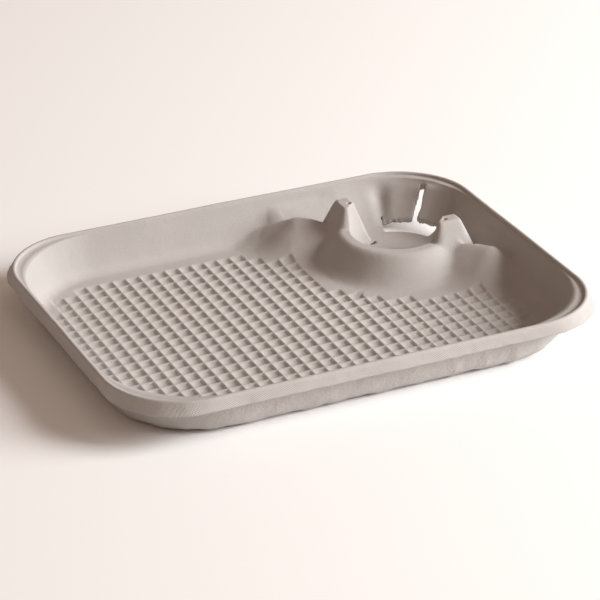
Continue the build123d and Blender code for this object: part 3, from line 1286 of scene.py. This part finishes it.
@dataclass(frozen=True)
class PulpFinish:
    """Moulded recycled-paper pulp: warm grey, dead matt, faintly flecked.

    A noise has its grain in millimetres and its detail. Flecks grow from nothing to their strength
    where the fibre noise falls through fleck_span.
    """

    body: str = "#b3afac"
    pale: str = "#beb9b6"
    fleck: str = "#8e867f"
    fleck_span: tuple[float, float] = (0.36, 0.30)
    fleck_strength: float = 0.55
    roughness: float = 0.95
    specular: float = 0.2
    fibre: tuple[float, float] = (0.55, 4.0)
    lump: tuple[float, float] = (2.4, 3.0)
    cloud: tuple[float, float] = (22.0, 2.0)
    lump_share: float = 0.4
    lump_outside: float = 2.2
    mesh_mm: float = 1.5
    mesh_share: float = 0.5
    bump_strength: float = 0.5
    bump_mm: float = 0.4

    def make(self, name: str) -> bpy.types.Material:
        """Builds the material; pattern sizes are cycles per metre, 1 / (millimetres * 0.001).

        The bump's height is the fibre noise plus the lump noise, which counts more on the outer
        side, plus the screen's print on the skirt.

        Args:
            name: the material's name.

        Returns:
            The new material.
        """
        material = bpy.data.materials.new(name)
        material.use_nodes = True
        tree = material.node_tree
        tree.nodes.clear()
        place = add_node(tree, "ShaderNodeTexCoord").outputs["Object"]
        noises = []
        for grain_mm, detail in (self.fibre, self.lump, self.cloud):
            inputs = {"Vector": place, "Scale": 1.0 / (grain_mm * MM), "Detail": detail}
            noises.append(add_node(tree, "ShaderNodeTexNoise", inputs).outputs[0])
        fibre, lump, cloud = noises
        start, full = self.fleck_span
        speck = add_node(tree, "ShaderNodeMapRange", {
            0: fibre, 1: start, 2: full, 3: 0.0, 4: self.fleck_strength}).outputs[0]
        colour = linear(self.body)
        for share, other in ((cloud, self.pale), (speck, self.fleck)):
            colour = add_node(tree, "ShaderNodeMix", {0: share, 6: colour, 7: linear(other)},
                              data_type="RGBA").outputs[2]

        printed, outside = (add_node(tree, "ShaderNodeAttribute", attribute_name=mask).outputs["Fac"]
                            for mask in ("skirt", "outside"))
        weave = add_node(tree, "ShaderNodeMath", {0: self.weave(tree, place), 1: printed},
                         operation="MULTIPLY").outputs[0]
        coarse = add_node(tree, "ShaderNodeMath", {
            0: outside, 1: self.lump_outside, 2: self.lump_share}, operation="MULTIPLY_ADD").outputs[0]
        height = fibre
        for relief, share in ((lump, coarse), (weave, self.mesh_share)):
            height = add_node(tree, "ShaderNodeMath", {0: relief, 1: share, 2: height},
                              operation="MULTIPLY_ADD").outputs[0]
        bump = add_node(tree, "ShaderNodeBump", {
            "Height": height, "Strength": self.bump_strength, "Distance": self.bump_mm * MM})
        shader = add_node(tree, "ShaderNodeBsdfPrincipled", {
            "Base Color": colour, "Roughness": self.roughness, "Specular IOR Level": self.specular,
            "Normal": bump.outputs[0]})
        add_node(tree, "ShaderNodeOutputMaterial", {"Surface": shader.outputs[0]})
        return material

    def weave(self, tree: Tree, place: Socket) -> Socket:
        """Print of the forming screen: a sine along the rim times a sine up the skirt.

        Args:
            tree: the node tree to add to.
            place: position in the tray's frame, in metres.

        Returns:
            The output of the product, between -1 and 1.
        """
        x, y, z = add_node(tree, "ShaderNodeSeparateXYZ", {0: place}).outputs
        rate = 2 * math.pi / (self.mesh_mm * MM)
        along = add_node(tree, "ShaderNodeMath", {0: x, 1: y}, operation="ADD").outputs[0]
        waves = []
        for value in (along, z):
            angle = add_node(tree, "ShaderNodeMath", {0: value, 1: rate}, operation="MULTIPLY").outputs[0]
            waves.append(add_node(tree, "ShaderNodeMath", {0: angle}, operation="SINE").outputs[0])
        return add_node(tree, "ShaderNodeMath", dict(enumerate(waves)), operation="MULTIPLY").outputs[0]


# Studio


def direction(azimuth: float, elevation: float) -> Vector:
    """Unit vector from the tray to a place at these angles in degrees; azimuth 0 is the front side."""
    a, e = math.radians(azimuth), math.radians(elevation)
    return Vector((math.sin(a) * math.cos(e), -math.cos(a) * math.cos(e), math.sin(e)))


@dataclass(frozen=True)
class StudioCamera:
    """The photograph's camera, solved from the floor grid and the rim; lengths in millimetres."""

    azimuth: float = -25.064
    elevation: float = 26.641
    roll: float = -0.240
    distance: float = 1806.1
    target: tuple[float, float, float] = (11.1, 19.8, 2.4)
    lens: float = 169.65
    sensor: float = 36.0

    def place(self) -> bpy.types.Object:
        """Makes the camera object and sets it as the scene's camera.

        Returns:
            The new object.
        """
        back = direction(self.azimuth, self.elevation)
        level = Vector((0, 0, 1)).cross(back).normalized()
        upright = back.cross(level)
        cos, sin = math.cos(math.radians(self.roll)), math.sin(math.radians(self.roll))
        right, up = level * cos + upright * sin, upright * cos - level * sin
        turn = Matrix((right, up, back)).transposed()
        data = bpy.data.cameras.new("studio_camera")
        data.sensor_width = self.sensor
        data.lens = self.lens
        camera = bpy.data.objects.new("studio_camera", data)
        spot = (Vector(self.target) + back * self.distance) * MM
        camera.matrix_world = Matrix.Translation(spot) @ turn.to_4x4()
        bpy.context.scene.collection.objects.link(camera)
        bpy.context.scene.camera = camera
        return camera


@dataclass(frozen=True)
class SoftBox:
    """A square area light that looks at the tray. Angles in degrees, lengths in metres."""

    name: str
    azimuth: float
    elevation: float
    distance: float
    size: float
    watts: float
    colour: str

    def place(self) -> bpy.types.Object:
        """Makes the light and turns it toward the tray's origin.

        Returns:
            The new object.
        """
        back = direction(self.azimuth, self.elevation)
        data = bpy.data.lights.new(self.name, "AREA")
        data.shape = "SQUARE"
        data.size = self.size
        data.energy = self.watts
        data.color = linear(self.colour)[:3]
        light = bpy.data.objects.new(self.name, data)
        turn = back.to_track_quat("Z", "Y").to_matrix().to_4x4()
        light.matrix_world = Matrix.Translation(back * self.distance) @ turn
        bpy.context.scene.collection.objects.link(light)
        return light


def make_world(backdrop: str, ambient: str, strength: float) -> None:
    """Plain backdrop for the camera, and an even ambient light for everything else.

    Args:
        backdrop: colour that the camera sees.
        ambient: colour of the ambient light.
        strength: strength of the ambient light.
    """
    world = bpy.data.worlds.new("studio_world")
    bpy.context.scene.world = world
    world.use_nodes = True
    tree = world.node_tree
    tree.nodes.clear()
    seen = add_node(tree, "ShaderNodeLightPath").outputs["Is Camera Ray"]
    light = add_node(tree, "ShaderNodeBackground", {0: linear(ambient), 1: strength}).outputs[0]
    white = add_node(tree, "ShaderNodeBackground", {0: linear(backdrop), 1: 1.0}).outputs[0]
    mixed = add_node(tree, "ShaderNodeMixShader", {0: seen, 1: light, 2: white}).outputs[0]
    add_node(tree, "ShaderNodeOutputWorld", {0: mixed})


def make_floor(colour: str, half: float = 6.0, gap: float = 0.0002) -> bpy.types.Object:
    """Large matt table top under the tray.

    Args:
        colour: the table's colour.
        half: half the side of its square, in metres.
        gap: distance between the table and the tray's foot, in metres.

    Returns:
        The new object.
    """
    mesh = bpy.data.meshes.new("table_top")
    corners = [(-half, -half, 0), (half, -half, 0), (half, half, 0), (-half, half, 0)]
    mesh.from_pydata(corners, [], [(0, 1, 2, 3)])
    floor = bpy.data.objects.new("table_top", mesh)
    floor.location.z = -gap
    bpy.context.scene.collection.objects.link(floor)
    material = bpy.data.materials.new("matt_white_paint")
    material.use_nodes = True
    shader = material.node_tree.nodes["Principled BSDF"]
    shader.inputs["Base Color"].default_value = linear(colour)
    shader.inputs["Roughness"].default_value = 1.0
    shader.inputs["Specular IOR Level"].default_value = 0.0
    mesh.materials.append(material)
    return floor


class Lighting(Enum):
    """The lights of the studio: a large key from the right and a weak fill from above."""

    KEY = SoftBox("key", azimuth=63.0, elevation=26.0, distance=3.0, size=1.5, watts=148.0,
                  colour="#ffffff")
    TOP = SoftBox("top", azimuth=30.0, elevation=80.0, distance=2.4, size=1.6, watts=2.0,
                  colour="#f4f8ff")


def main() -> None:
    """Builds the tray, the studio and the camera."""
    logging.basicConfig(level=logging.INFO, format="%(name)s: %(message)s")
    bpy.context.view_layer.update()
    size = TrayDimensions()
    tray = TraySheet(size).build().to_object("carry_tray")
    tray.data.materials.append(PulpFinish().make("moulded_recycled_pulp"))
    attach(tray, "root")
    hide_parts("carrier_tray")
    make_floor("#ffffff")
    make_world(backdrop="#ffffff", ambient="#ffdcc4", strength=0.29)
    for light in Lighting:
        light.value.place()
    StudioCamera().place()
    bpy.context.scene.view_settings.view_transform = "Standard"


if __name__ == "__main__":
    main()
